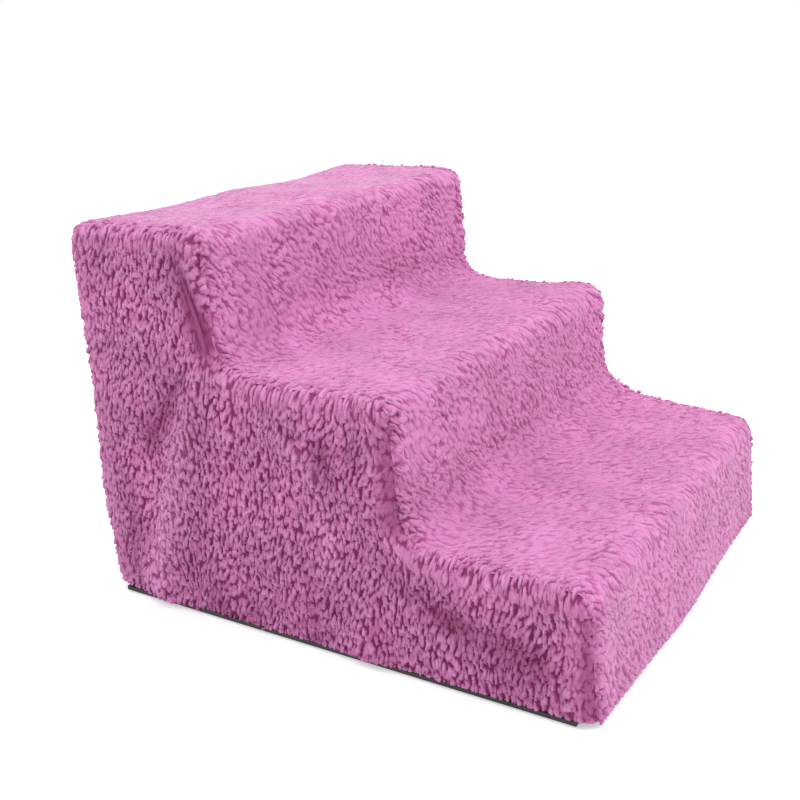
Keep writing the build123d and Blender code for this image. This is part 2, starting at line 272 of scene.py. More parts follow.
def edge_columns(spacing):
    """Such places from one edge of a cloth to the other."""
    flat = COVER_SIDE - EDGE_RADIUS
    edge = [edge_place(angle) for angle in np.linspace(0, SEAM_ANGLE + SEAM_LAP, 5)[1:]]
    middle = [(x, PILE_DEPTH) for x in np.linspace(-flat, flat, round(2 * flat / spacing) + 1)]
    return [(-x, inset) for x, inset in edge[::-1]] + middle + edge


def fold_height(first, second, folds):
    """Swell of the cloth at places on a wall."""
    total = np.zeros(len(first))
    for *ends, top_width, foot_width, rise in folds:
        top, foot = np.array(ends).reshape(2, 2) * MM
        line = foot - top
        reach = np.linalg.norm(line)
        line /= reach
        along = (first - top[0]) * line[0] + (second - top[1]) * line[1]
        off = (first - top[0]) * line[1] - (second - top[1]) * line[0]
        share = np.clip(along / reach, 0, 1)
        beyond = np.maximum(along - reach, 0) + np.maximum(-along, 0)
        width = (top_width + (foot_width - top_width) * share) * MM
        swell = np.exp(-((off**2 + beyond**2) / width**2)) * (0.25 + 0.75 * np.sin(share * math.pi / 2))
        total += rise * MM * swell
    return total


def ripple(first, second, pitch, seed):
    """Smooth random waviness between -1 and 1 over a wall."""
    rng = np.random.default_rng(seed)
    total = 0 * first
    for wave in range(9):
        angle = rng.uniform(0, math.pi)
        length = pitch * rng.uniform(0.7, 1.6)
        phase = rng.uniform(0, 2 * math.pi)
        total += np.sin((first * math.cos(angle) + second * math.sin(angle)) * 2 * math.pi / length + phase)
    return total / 4.5


def mesh_of(name, vertices, faces, uv, fields):
    """Mesh with a UV map and named values on its vertices."""
    mesh = bpy.data.meshes.new(name)
    mesh.from_pydata(vertices.tolist(), [], faces)
    layer = mesh.uv_layers.new(name="UVMap")
    corners = np.zeros(len(mesh.loops), np.int32)
    mesh.loops.foreach_get("vertex_index", corners)
    layer.data.foreach_set("uv", np.asarray(uv, np.float32)[corners].ravel())
    for field, values in fields.items():
        values = np.asarray(values, np.float32)
        kind, key = ("FLOAT_VECTOR", "vector") if values.ndim == 2 else ("FLOAT", "value")
        mesh.attributes.new(field, kind, "POINT").data.foreach_set(key, values.ravel())
    mesh.shade_smooth()
    return mesh


def grid_faces(rows, columns):
    corners = (row * columns + column for row in range(rows - 1) for column in range(columns - 1))
    return [(first, first + 1, first + columns + 1, first + columns) for first in corners]


def facing(mesh, direction):
    """Turn a mesh's faces over if most of them look the other way."""
    total = sum((polygon.normal * polygon.area for polygon in mesh.polygons), Vector())
    if total.dot(Vector(direction)) < 0:
        mesh.flip_normals()
    return mesh


def stood(name, data):
    made = bpy.data.objects.new(name, data)
    bpy.context.scene.collection.objects.link(made)
    return made


def put(name, mesh, body="cover"):
    """A new piece of the object."""
    piece = stood(name, mesh)
    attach(piece, body)
    return piece


def solid(piece, thickness, material, offset=-1):
    """Give a cloth its thickness and its material."""
    modifier = piece.modifiers.new("thickness", "SOLIDIFY")
    modifier.thickness = thickness
    modifier.offset = offset
    piece.data.materials.append(material)
    return piece


def plain_mesh(holder, name):
    """Mesh of what an object shows, in place of the object."""
    bpy.context.view_layer.update()
    mesh = bpy.data.meshes.new_from_object(holder.evaluated_get(bpy.context.evaluated_depsgraph_get()))
    mesh.name = name
    bpy.data.objects.remove(holder)
    return mesh


# Node trees


class Wire:
    """An output of a node. Arithmetic with it adds maths nodes, for vectors if it is one."""

    def __init__(self, tree, node, name=None):
        self.tree = tree
        self.socket = next(one for one in node.outputs if one.enabled and name in (None, one.name))
        self.wide = self.socket.type in ("VECTOR", "RGBA")

    def reckon(self, operation, second=0.0, first=None):
        """What a maths node makes of this value, or a first one, and a second."""
        first = self if first is None else first
        if not self.wide:
            return self.tree.out("ShaderNodeMath", {0: first, 1: second}, operation=operation)
        place = 1
        if isinstance(second, float) or isinstance(second, Wire) and not second.wide:
            operation, place = "SCALE", "Scale"
        return self.tree.out("ShaderNodeVectorMath", {0: first, place: second}, operation=operation)

    __add__ = partialmethod(reckon, "ADD")
    __sub__ = partialmethod(reckon, "SUBTRACT")
    __mul__ = partialmethod(reckon, "MULTIPLY")
    __truediv__ = partialmethod(reckon, "DIVIDE")

    def __rsub__(self, other):
        return self.reckon("SUBTRACT", self, other)

    def part(self, axis):
        return self.tree.out("ShaderNodeSeparateXYZ", {"Vector": self}, axis)

    def spanned(self, low, high, new_low=0.0, new_high=1.0, easing="SMOOTHSTEP"):
        """This value brought from one span to another."""
        span = {"Value": self, "From Min": low, "From Max": high, "To Min": new_low, "To Max": new_high}
        return self.tree.out("ShaderNodeMapRange", span, interpolation_type=easing)

    def stored(self, name, value, kind="FLOAT", domain="POINT"):
        """This geometry with a value kept on it under a name."""
        kept = {"Geometry": self, "Name": name, "Value": value}
        return self.tree.out("GeometryNodeStoreNamedAttribute", kept, data_type=kind, domain=domain)


class Tree:
    """A node tree with named inputs and outputs, each with its kind of socket."""

    def __init__(self, made, inputs=None, outputs=None):
        self.made = made
        for way, sockets in (("INPUT", inputs or {}), ("OUTPUT", outputs or {})):
            for label, kind in sockets.items():
                made.interface.new_socket(label, in_out=way, socket_type="NodeSocket" + kind)
        if outputs:
            self.given = made.nodes.new("NodeGroupInput")
            self.result = made.nodes.new("NodeGroupOutput")

    def __getitem__(self, name):
        return Wire(self, self.given, name)

    def feed(self, node, inputs):
        """Link a node's inputs to wires or set them to values."""
        for name, value in inputs.items():
            if isinstance(name, int):
                place = node.inputs[name]
            else:
                place = next(one for one in node.inputs if one.name == name and one.enabled)
            if isinstance(value, Wire):
                self.made.links.new(value.socket, place)
            else:
                place.default_value = value
        return node

    def add(self, kind, inputs=None, **settings):
        """A new node with its settings and inputs."""
        node = self.made.nodes.new(kind)
        for name, value in settings.items():
            setattr(node, name, value)
        return self.feed(node, inputs or {})

    def out(self, kind, inputs=None, output=None, **settings):
        """The output of a new node, the first in use if it isn't named."""
        return Wire(self, self.add(kind, inputs, **settings), output)

    def ended(self, outputs):
        self.feed(self.result, outputs)
        return self.made

    def combined(self, *values):
        return self.out("ShaderNodeCombineXYZ", dict(zip("XYZ", values)))

    def noise(self, place, scale, detail, roughness=0.5, output="Fac", **settings):
        values = {"Vector": place, "Scale": scale, "Detail": detail, "Roughness": roughness}
        return self.out("ShaderNodeTexNoise", values, output, **settings)

    def mix(self, share, first, second):
        return self.out("ShaderNodeMix", {"Factor": share, "A": first, "B": second}, data_type="RGBA")

    def position(self):
        return self.out("GeometryNodeInputPosition")

    def named(self, name, kind="FLOAT"):
        """A named value of the mesh, in Geometry Nodes."""
        return self.out("GeometryNodeInputNamedAttribute", {"Name": name}, "Attribute", data_type=kind)

    def attribute(self, name, output="Fac"):
        """A named value of the mesh, in a material."""
        return self.out("ShaderNodeAttribute", None, output, attribute_name=name)

    def object_place(self):
        return self.out("ShaderNodeTexCoord", None, "Object")

    def placed(self, group, values):
        """Outputs of a shader node group that has its own values here."""
        node = self.add("ShaderNodeGroup", values, node_tree=group)
        return [Wire(self, node, one.name) for one in node.outputs]


def turned_to(up, forward):
    """Rotation that stands Z on one direction and turns X towards another."""
    align = "FunctionNodeAlignRotationToVector"
    standing = up.tree.out(align, {"Vector": up}, axis="Z", pivot_axis="AUTO")
    return up.tree.out(align, {"Rotation": standing, "Vector": forward}, axis="X", pivot_axis="Z")


def lumps(place):
    """Height of matted pile at a place, from 0 to 1, and the clump it is in."""
    tree = place.tree
    spread = {"Vector": place, "Scale": 1.0, "Randomness": 1.0}
    cells = tree.add("ShaderNodeTexVoronoi", spread, voronoi_dimensions="2D", feature="F1")
    away = Wire(tree, cells, "Distance")
    matted = tree.noise(place, 1.6, 1.5, noise_dimensions="2D")
    return (away * away * -1.5 + matted * 1.1).spanned(-0.30, 0.60), cells


def growing_tree(name, sizes, vectors=()):
    """Tree that grows something on a source mesh."""
    made = bpy.data.node_groups.new(name, "GeometryNodeTree")
    made.is_modifier = True
    kinds = {size: "Vector" if size in vectors else "Float" for size in sizes}
    return Tree(made, {"Source": "Geometry", **kinds, "Seed": "Int", "Finish": "Material"}, {"Grown": "Geometry"})


def finished(tree, geometry):
    """The tree, with its geometry shaded smooth and in its finish."""
    geometry = tree.out("GeometryNodeSetShadeSmooth", {"Geometry": geometry})
    geometry = tree.out("GeometryNodeSetMaterial", {"Geometry": geometry, "Material": tree["Finish"]})
    return tree.ended({"Grown": geometry})


def rod(tree, bend, corners, radius, share=None, **more):
    """Round rod along a bend, with the share of its length kept if it is given."""
    spine = tree.out("GeometryNodeCurveQuadraticBezier", {"Resolution": 4, **bend})
    if share:
        spine = spine.stored("along", share)
    ring = tree.out("GeometryNodeCurvePrimitiveCircle", {"Resolution": corners, "Radius": radius}, "Curve")
    return tree.out("GeometryNodeCurveToMesh", {"Curve": spine, "Profile Curve": ring, "Fill Caps": True, **more})


def standing(tree, points, instance, rotation, scale):
    """Geometry that stands on points, one for each."""
    stands = {"Points": points, "Instance": instance, "Rotation": rotation, "Scale": scale}
    stands = tree.out("GeometryNodeInstanceOnPoints", stands)
    return tree.out("GeometryNodeRealizeInstances", {"Geometry": stands})


def nap_tree():
    """The nap: clumps of curled pile side by side, each raised towards its tip."""
    tree = growing_tree("sherpa nap", NAP_SIZES)
    fine = tree.out("GeometryNodeSubdivideMesh", {"Mesh": tree["Source"], "Level": 2})
    calm = tree.named("calm")
    shift = tree["Seed"] * 7.31
    size = tree.combined(tree["Clump Width"], tree["Clump Length"], 1.0)
    place = tree.named("clump place", "FLOAT_VECTOR") / size + tree.combined(shift, shift, 0.0)
    warp = tree.noise(place, 0.55, 2.0, output="Color") - (0.5, 0.5, 0.5)
    place = place + warp * tree["Wander"]
    dome, cells = lumps(place)
    lean = (place - Wire(tree, cells, "Position")).part("Y") * tree["Lean"]
    chance = Wire(tree, cells, "Color").part("X")
    clump = dome * (chance * 0.5 + 0.5 + lean)
    depth = tree["Depth"] * calm.spanned(0.0, 1.0, 1.0, 0.35)
    height = clump * depth + tree["Lift"] + calm * (tree["Depth"] * 0.4)
    fuzz = (tree.noise(tree.position(), 420.0, 2.0, 0.7) - 0.5) * tree["Fuzz"]
    height = (height + fuzz * 2.0) * tree.named("full")
    fine = fine.stored("clump", place, "FLOAT_VECTOR").stored("shade", chance)
    offset = tree.out("GeometryNodeInputNormal") * height
    return finished(tree, tree.out("GeometryNodeSetPosition", {"Geometry": fine, "Offset": offset}))


def curls_tree():
    """Loose curls that stand out of the nap and lean along its lay."""
    tree = growing_tree("loose curls", CURL_SIZES)
    length, tilt, seed = (tree[name] for name in ("Length", "Tilt", "Seed"))
    reach = tree.combined(length, 0.0, tree["Rise"])
    bend = dict(zip(BEND, (reach * share for share in ((-0.12, 0, 0), (0.35, 0, 1.35), (1, 0, 0.55)))))
    share = tree.out("GeometryNodeSplineParameter", None, "Factor")
    taper = tree.add("ShaderNodeFloatCurve", {"Value": share})  # how thick the curl is along its length
    line = taper.mapping.curves[0]
    line.points[0].location = (0, 0.55)
    line.points[1].location = (1, 0.10)
    for point in ((0.35, 0.92), (0.62, 1.0), (0.86, 0.72)):
        line.points.new(*point)
    taper.mapping.update()
    curl = rod(tree, bend, 6, 1.0, share, Scale=Wire(tree, taper) * (tree["Width"] * 0.5))
    curl = curl.stored("curl place", tree.position() / tree.combined(length, length, length), "FLOAT_VECTOR")

    spread = {"Mesh": tree["Source"], "Distance Min": tree["Pitch"], "Seed": seed}
    spread |= {"Density Max": 90000.0, "Density Factor": tree.named("cover")}
    roots = tree.add("GeometryNodeDistributePointsOnFaces", spread, distribute_method="POISSON")

    def chance(low, high, shift, kind="FLOAT_VECTOR"):
        span = {"Min": low, "Max": high, "Seed": seed + float(shift)}
        return tree.out("FunctionNodeRandomValue", span, data_type=kind)

    laid = turned_to(Wire(tree, roots, "Normal"), tree.named("lay", "FLOAT_VECTOR"))
    wander = chance((-1, -1, -1), (1, 1, 1), 11) * tree.combined(tilt, tilt, tree["Turn"])
    turn = {"Rotation": laid, "Rotate By": tree.out("FunctionNodeEulerToRotation", {"Euler": wander})}
    turned = tree.out("FunctionNodeRotateRotation", turn, rotation_space="LOCAL")
    points = Wire(tree, roots, "Points").stored("shade", chance(0.0, 1.0, 37, "FLOAT"))
    points = points.stored("curl number", tree.out("GeometryNodeInputIndex"))
    count = tree.out("GeometryNodeAttributeDomainSize", {"Geometry": points}, component="POINTCLOUD")
    curls = standing(tree, points, curl, turned, chance((0.72, 0.72, 0.65), (1.25, 1.22, 1.2), 23))
    noise = tree.noise(tree.position(), 260.0, 1.0, output="Color") - (0.5, 0.5, 0.5)
    curls = tree.out("GeometryNodeSetPosition", {"Geometry": curls, "Offset": noise * tree["Roughen"]})

    # Each curl has its own cell of the UV map
    across = count.reckon("SQRT").reckon("CEIL")
    number = tree.named("curl number")
    cell = tree.combined(number.reckon("MODULO", across), (number / across).reckon("FLOOR"), 0.0)
    cell = cell + (tree.named("curl place", "FLOAT_VECTOR") * (0.7, 0.7, 0.0) + (0.15, 0.5, 0.0))
    return finished(tree, curls.stored("UVMap", cell / tree.combined(across, across, 1.0), "FLOAT2", "CORNER"))


def threads_tree():
    """Small bent threads that stand on marked places: stitches, hooks or loops."""
    tree = growing_tree("small threads", THREAD_SIZES, BEND)
    thread = rod(tree, {name: tree[name] for name in BEND}, 4, tree["Radius"])
    turned = turned_to(tree.named("outward", "FLOAT_VECTOR"), tree.named("run", "FLOAT_VECTOR"))
    least, most = 1.0 - tree["Uneven"], tree["Uneven"] + 1.0
    span = {"Min": tree.combined(least, least, 1.0), "Max": tree.combined(most, most, 1.0), "Seed": tree["Seed"]}
    size = tree.out("FunctionNodeRandomValue", span, data_type="FLOAT_VECTOR")
    return finished(tree, standing(tree, tree["Source"], thread, turned, size))


def grown(name, source, tree, settings, body="cover"):
    """A piece made by a tree from a source mesh, kept as a plain mesh."""
    holder = stood(name + " source", source)
    modifier = holder.modifiers.new("made", "NODES")
    modifier.node_group = tree
    for item in tree.interface.items_tree:
        if item.item_type == "SOCKET" and item.in_out == "INPUT" and item.name in settings:
            modifier[item.identifier] = settings[item.name]
    return put(name, plain_mesh(holder, name), body)


# Materials


def shader_group(name, inputs, outputs):
    return Tree(bpy.data.node_groups.new(name, "ShaderNodeTree"), inputs, outputs)


def finish(name, colour, roughness, inputs=None):
    """A material, its tree and its one shader."""
    material = bpy.data.materials.new(name)
    material.use_nodes = True
    tree = Tree(material.node_tree)
    plain = {"Base Color": (*colour, 1), "Roughness": roughness, **(inputs or {})}
    return material, tree, tree.feed(tree.made.nodes["Principled BSDF"], plain)


def bumped(height, strength, distance):
    """Normal of a surface with a fine relief."""
    return height.tree.out("ShaderNodeBump", {"Height": height, "Strength": strength, "Distance": distance})


def fibre_group():
    """Colour and relief of curled fibres, with painted shade toward the backing and in valleys, and painted
    highlight on the tips and crests.
    """
    colours = dict.fromkeys(("Shaded Root", "Body", "Tip", "Painted Shade"), "Color")
    inputs = {**colours, "Height": "Float", "Place": "Vector"}
    tree = shader_group("sherpa fibre", inputs, {"Colour": "Color", "Relief": "Float"})
    calm = tree.attribute("calm")
    quiet = calm * 0.70
    along = tree["Height"] * (1.0 - quiet) + quiet * 0.82
    shade = (tree.attribute("shade") - 0.5) * (1.0 - calm * 0.75)
    # Painted highlight: the lit tip colour grows with height and on crests
    high = (along.spanned(0.35, 1.0) + tree.attribute("painted_highlight") * 0.45) * (shade * 0.7 + 0.55)
    # Painted shade low in the pile: the colour runs from the shaded root up to the body with height
    colour = tree.mix(along.spanned(0.0, 0.7), tree["Shaded Root"], tree["Body"])
    colour = tree.mix(high, colour, tree["Tip"])
    # Painted shade in the seam grooves, the hollows of the folds and on the welts
    colour = tree.mix(tree.attribute("painted_shade") * 0.85, colour, tree["Painted Shade"])
    fine = tree.noise(tree["Place"], 1.0, 3.0, 0.6)
    patch = tree.noise(tree.object_place(), 22.0, 2.0).spanned(0.3, 0.7, 0.9, 1.08, "LINEAR")
    tone = patch * fine.spanned(0.25, 0.75, 0.84, 1.12, "LINEAR")
    return tree.ended({"Colour": colour * tree.combined(tone, tone, tone), "Relief": fine})


def fleece_finish(name, clumped):
    """Sherpa pile, with its height from its clumps or along a loose curl."""
    sheen = {"Sheen Roughness": 0.40, "Sheen Tint": (1.0, 0.76, 0.95, 1), "Specular IOR Level": 0.15}
    material, tree, shader = finish(name, BODY, 0.95, sheen)
    calm = tree.attribute("calm")
    if clumped:
        clump = tree.attribute("clump", "Vector")
        height, place = lumps(clump)[0], clump * (4.0, 2.0, 0.0)
    else:
        height, place = tree.attribute("along"), tree.object_place() * 900.0
    # The pile's height sets its painted shade at the root and its painted highlight at the tip
    tones = {"Shaded Root": (*SHADED_ROOT, 1), "Body": (*BODY, 1), "Tip": (*LIT_TIP, 1), "Painted Shade": (*SHADE_COLOUR, 1)}
    colour, relief = tree.placed(FIBRE, {**tones, "Height": height, "Place": place})
    if clumped:
        relief = relief * 0.35 + height * (1.25 - calm)
    # Less sheen where the painted shade darkens the pile
    bloom = calm.spanned(0.0, 0.9, 0.42, 1.0) * (1.0 - tree.attribute("painted_shade"))
    tree.feed(shader, {"Sheen Weight": bloom, "Base Color": colour, "Normal": bumped(relief, 0.6, 1.2 * MM)})
    return material


def grain_group():
    """Moulded grain: fine relief with a little change of gloss."""
    inputs = {"Grain Scale": "Float", "Gloss": "Float"}
    tree = shader_group("moulded grain", inputs, {"Roughness": "Float", "Relief": "Float"})
    place = tree.object_place()
    change = (tree.noise(place, 30.0, 3.0) - 0.5) * 0.3
    fine = tree.noise(place, tree["Grain Scale"], 2.0)
    return tree.ended({"Roughness": tree["Gloss"] + change, "Relief": fine})


def moulded_finish(name, colour, gloss, scale):
    """Moulded plastic, rubber or thread, with its grain."""
    material, tree, shader = finish(name, colour, gloss)
    roughness, relief = tree.placed(GRAIN, {"Grain Scale": scale, "Gloss": gloss})
    tree.feed(shader, {"Roughness": roughness, "Normal": bumped(relief, 0.35, 0.05 * MM)})
    return material


def woven_group():
    """Plain weave in two colours, over the piece's own UV map in metres."""
    inputs = {"Light": "Color", "Dark": "Color", "Threads": "Float"}
    tree = shader_group("plain weave", inputs, {"Colour": "Color", "Relief": "Float"})
    place = tree.out("ShaderNodeUVMap", uv_map="UVMap") * tree["Threads"]
    warp, weft = ((place.part(axis) * (2 * math.pi)).reckon("SINE") for axis in "XY")
    height = warp * weft * 0.5 + 0.5
    return tree.ended({"Colour": tree.mix(height, tree["Dark"], tree["Light"]), "Relief": height})


def woven_finish(name, light, dark, threads):
    """Woven or knitted tape."""
    material, tree, shader = finish(name, light, 0.85, {"Sheen Weight": 0.2})
    colour, relief = tree.placed(WEAVE, {"Light": (*light, 1), "Dark": (*dark, 1), "Threads": threads})
    tree.feed(shader, {"Base Color": colour, "Normal": bumped(relief, 0.5, 0.15 * MM)})
    return material


FIBRE = fibre_group()
GRAIN = grain_group()
WEAVE = woven_group()

# Pile colours: the root is painted darker as shade, the tip painted lighter as highlight, the body is the pile's
# own colour
SHADED_ROOT = (0.24, 0.032, 0.126)
BODY = (0.545, 0.145, 0.365)
LIT_TIP = (0.74, 0.33, 0.60)
# Colour of the painted shade in grooves and hollows
SHADE_COLOUR = (0.23, 0.028, 0.110)
NAP = fleece_finish("pink sherpa nap", True)
CURL = fleece_finish("pink sherpa curls", False)
BACKING = woven_finish("knitted backing", (0.50, 0.13, 0.32), (0.36, 0.07, 0.21), 700.0)
TAPE = woven_finish("binding tape", (0.62, 0.20, 0.42), (0.42, 0.10, 0.28), 1100.0)
HOOK_TAPE = woven_finish("hook tape", (0.05, 0.05, 0.055), (0.015, 0.015, 0.017), 900.0)
LOOP_TAPE = woven_finish("loop tape", (0.60, 0.25, 0.46), (0.40, 0.14, 0.29), 1300.0)
BLACK = moulded_finish("black moulded plastic", (0.010, 0.010, 0.011), 0.48, 1500.0)
RIVET = moulded_finish("rivet plastic", (0.030, 0.030, 0.034), 0.34, 2200.0)
RUBBER = moulded_finish("foot rubber", (0.026, 0.025, 0.025), 0.75, 2600.0)
THREAD = moulded_finish("sewing thread", (0.70, 0.26, 0.50), 0.8, 2400.0)
HOOK = moulded_finish("nylon hooks", (0.06, 0.06, 0.065), 0.3, 2400.0)
LOOP = moulded_finish("nylon loops", (0.66, 0.30, 0.52), 0.5, 2400.0)


# The frame's own nodes


def coat(nodes, material):
    for name in nodes:
        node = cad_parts[name]
        node.data.materials.clear()
        node.data.materials.append(material)


STEPS = ("lower", "middle", "upper")
boards = ["side_panel_left", "side_panel_right", "back_rail_lower", "back_rail_upper", "base_rail"]
boards += ["tread_" + step for step in STEPS] + ["riser_" + step for step in STEPS]
coat(boards, BLACK)
coat(["snap_rivets"], RIVET)
coat(["rubber_feet"], RUBBER)


# The cover


def strip_surface():
    """Backing of the strip: rows of points, their normals, and the length up to each row."""
    columns = edge_columns(MESH_STEP)
    views = {inset: side_view(inset) for x, inset in columns}
    rows = np.array([[(x, *views[inset][row]) for x, inset in columns] for row in range(STRIP_ROWS)])
    view = views[PILE_DEPTH]
    return rows, outward(view)[:STRIP_ROWS], lengths_along(view)[:STRIP_ROWS]


def top_dish(x, z, level):
    """How far the cloth sags on the upper tread, from 0 to 1."""
    dish = 0.9 * bell(x + 90 * MM, 60) + 1.3 * bell(x - 78 * MM, 70)
    return dish * level * (z > STEP_HEIGHTS[2] - 12 * MM)


def step_relief(rows, normals, lengths):
    """Dents, waves and swells of the cloth over the treads and risers."""
    x, y, z = rows[:, :, 0], rows[:, :, 1], rows[:, :, 2]
    level = np.clip(normals[:, 1:], 0, 1)
    upright = np.clip(1 - normals[:, 1:], 0, 1) * (normals[:, :1] < 0)
    wave = ripple(x, lengths[:, None] + 0 * x, 110 * MM, 5) * 0.9 * MM
    near_edge = 1 - ramp(COVER_SIDE - np.abs(x), 40)
    relief = wave * (1 - near_edge) - 1.1 * MM * top_dish(x, z, level)
    far = ramp(x - 20 * MM, 150) ** 1.5
    swell = 11 * MM + 2 * MM * ramp(270 * MM - z, 50)
    relief += far * swell * ramp(z - STEP_HEIGHTS[1], 30) * upright
    relief += far * 4 * MM * ramp(z - STEP_HEIGHTS[0], 30) * (z < STEP_HEIGHTS[1]) * upright
    on_lower = level * (z < STEP_HEIGHTS[0] + 45 * MM)
    relief += far * 9.5 * MM * on_lower * ramp(y - NOSINGS[0] - 20 * MM, 110)
    for y_bump, z_bump, rise in FAR_BUMPS:
        relief += rise * far * bell(np.hypot(y - y_bump, z - z_bump), 26)
    relief += 5.5 * MM * bell(x + 37 * MM, 65) * fading(z, 85)
    return relief


def strip_fields(rows, normals, lengths):
    """Named values over the strip: where curls grow, and how the nap lies."""
    x, y, z = rows[:, :, 0], rows[:, :, 1], rows[:, :, 2]
    length = lengths[:, None] + 0 * x
    upward = np.clip(normals[:, 1:], 0, 1)
    seam = edge_place(SEAM_ANGLE)[0]
    edge = ramp(np.abs(x) - seam + 12 * MM, 12)
    near_riser = (x < 0) * (1 - upward) * (z > UPPER_RISER_FOOT)
    kept = 0.45 + 0.40 * upward - 0.25 * near_riser
    full = kept + (1 - kept) * ramp(seam - np.abs(x), 4) ** 0.5
    turn = math.radians(-38)
    wave = ripple(x, length, 70 * MM, 8) * 5 * MM
    place_across = x * math.cos(turn) - length * math.sin(turn) + wave
    place_down = -(x * math.sin(turn) + length * math.cos(turn))
    # The pile lies down the risers and to the right, and over the treads to the front
    aside = 0.62 * (1 - upward) + 0.25 * upward + 0.25 * ripple(x, y + z, 60 * MM, 8)
    return {
        "cover": np.clip(1.3 * edge**2, 0, 1) * (1 - 0.9 * near_riser * (edge > 0.4)) * (1 - 0.6 * (x > 0)),
        "calm": np.clip(0.70 + 0.08 * upward + 0.18 * ripple(x, length, 46 * MM, 15) - 0.30 * edge, 0, 1),
        "full": full * (1 - 0.45 * np.clip(top_dish(x, z, upward), 0, 1.3)),
        "clump place": np.stack((place_across, place_down, 0 * x), axis=2),
        "lay": np.stack((aside, 0 * x - normals[:, 1:], 0 * x + normals[:, :1]), axis=2),
    }


rows, normals, lengths = strip_surface()
STRIP_FIELDS = strip_fields(rows, normals, lengths)
STRIP = rows.copy()
STRIP[:, :, 1:] += normals[:, None, :] * step_relief(rows, normals, lengths)[:, :, None]
STRIP_UV = np.stack((rows[:, :, 0], lengths[:, None] + 0 * rows[:, :, 0]), axis=2)
# A step ends in the middle of the arc at the foot of the next riser
RUN_ENDS = np.cumsum(RUN_COUNTS)
LOWER_END, MIDDLE_END = (int(RUN_ENDS[run] - ARC_STEPS // 2) for run in (3, 7))


def strip_mesh(name, first=0, last=STRIP_ROWS):
    """Backing of the strip from one row of points to another."""
    rows = STRIP[first:last]
    fields = {field: np.concatenate(values[first:last]) for field, values in STRIP_FIELDS.items()}
    uv = np.concatenate(STRIP_UV[first:last])
    return facing(mesh_of(name, np.concatenate(rows), grid_faces(*rows.shape[:2]), uv, fields), (0, -1, 1))


def corner_lift(along, z):
    """How much the hem rides up at the left back corner."""
    return 8 * MM * ramp(along, 45) ** 3 * ramp(60 * MM - z, 55)


def back_bulge(along, z):
    """How far the left back corner stands out behind, halfway up."""
    return 5 * MM * ramp(along, 60) ** 2 * bell(z - 90 * MM, 60)


def seam_shift(border, y, z, start, reach):
    """How far the right side goes with the swells of the strip at its seam."""
    view = side_view(PILE_DEPTH)
    normals = outward(view)
    rows = np.insert(view, 0, COVER_SIDE - 8 * MM, axis=1)[:, None, :]
    moved = step_relief(rows, normals, np.zeros(len(view))) * normals
    moved[STRIP_ROWS:] = 0
    apart = np.hypot(np.subtract.outer(y, border[:, 0]), np.subtract.outer(z, border[:, 1]))
    weight = 1 / (apart**2 + (0.5 * MM) ** 2) ** 2
    fade = fading(reach, 60)
    shift = weight @ moved / weight.sum(axis=1)[:, None] * (fade * fade * (3 - 2 * fade))[:, None]
    shift[:start] = np.tile(moved, (start // len(view), 1))
    return shift


def paired(faces, vertices):
    """Faces with each two triangles that share their longest edge made into one."""
    waiting, joined = {}, [face for face in faces if len(face) != 3]
    for face in faces:
        if len(face) != 3:
            continue
        turns = [face[corner:] + face[:corner] for corner in range(3)]
        first, second, third = max(turns, key=lambda turn: np.hypot(*(vertices[turn[0]] - vertices[turn[1]])[1:]))
        edge = frozenset((first, second))
        if edge in waiting:
            joined.append((first, waiting.pop(edge)[2], second, third))
        else:
            waiting[edge] = (first, second, third)
    return joined + list(waiting.values())


def gap_to(line, y, z):
    """Distance from a place to the nearest point of a line."""
    return np.min(np.hypot(line[:, 0] - y, line[:, 1] - z))


def side_grid(rings, views):
    """Points and faces of a flat side: rings round the seam and triangles within them."""
    border = views[-1]
    ys = np.arange(border[:, 0].min(), border[:, 0].max(), SIDE_STEP)
    zs = np.arange(HEM_HEIGHT + SIDE_STEP, border[:, 1].max(), SIDE_STEP)
    inside = []
    for y in ys:
        top = max((STEP_HEIGHTS[step] for step in range(3) if y > NOSINGS[step]), default=0) - EDGE_RADIUS
        for z in zs:
            if z < top - SIDE_STEP * 0.4 and gap_to(border, y, z) > SIDE_STEP * 0.6:
                if border[0, 0] + SIDE_STEP < y < border[-1, 0] - SIDE_STEP:
                    inside.append((y, z))
    hem = np.arange(border[-1, 0] - SIDE_STEP, border[0, 0] + SIDE_STEP, -SIDE_STEP)
    outline = [*border, *((y, HEM_HEIGHT) for y in hem)]
    spots = [Vector(place) for place in (*outline, *inside)]
    found, _, triangles, origins, *_ = delaunay_2d_cdt(spots, [], [list(range(len(outline)))], 1, 1e-7)
    count = len(border)
    start = (len(rings) - 1) * count
    points = [(across, *point) for (across, inset), view in zip(rings, views) for point in view][:start]
    points += [(COVER_SIDE - PILE_DEPTH, *place) for place in found]
    order = {index: new + start for new, old in enumerate(origins) for index in old}
    faces = [tuple(index + start for index in face) for face in triangles]
    levels = [range(ring * count, (ring + 1) * count) for ring in range(len(rings) - 1)]
    levels.append([order[place] for place in range(count)])
    for upper, lower in zip(levels, levels[1:]):
        for place in range(count - 1):
            faces.append((lower[place], lower[place + 1], upper[place + 1], upper[place]))
    return np.array(points, float), faces, start


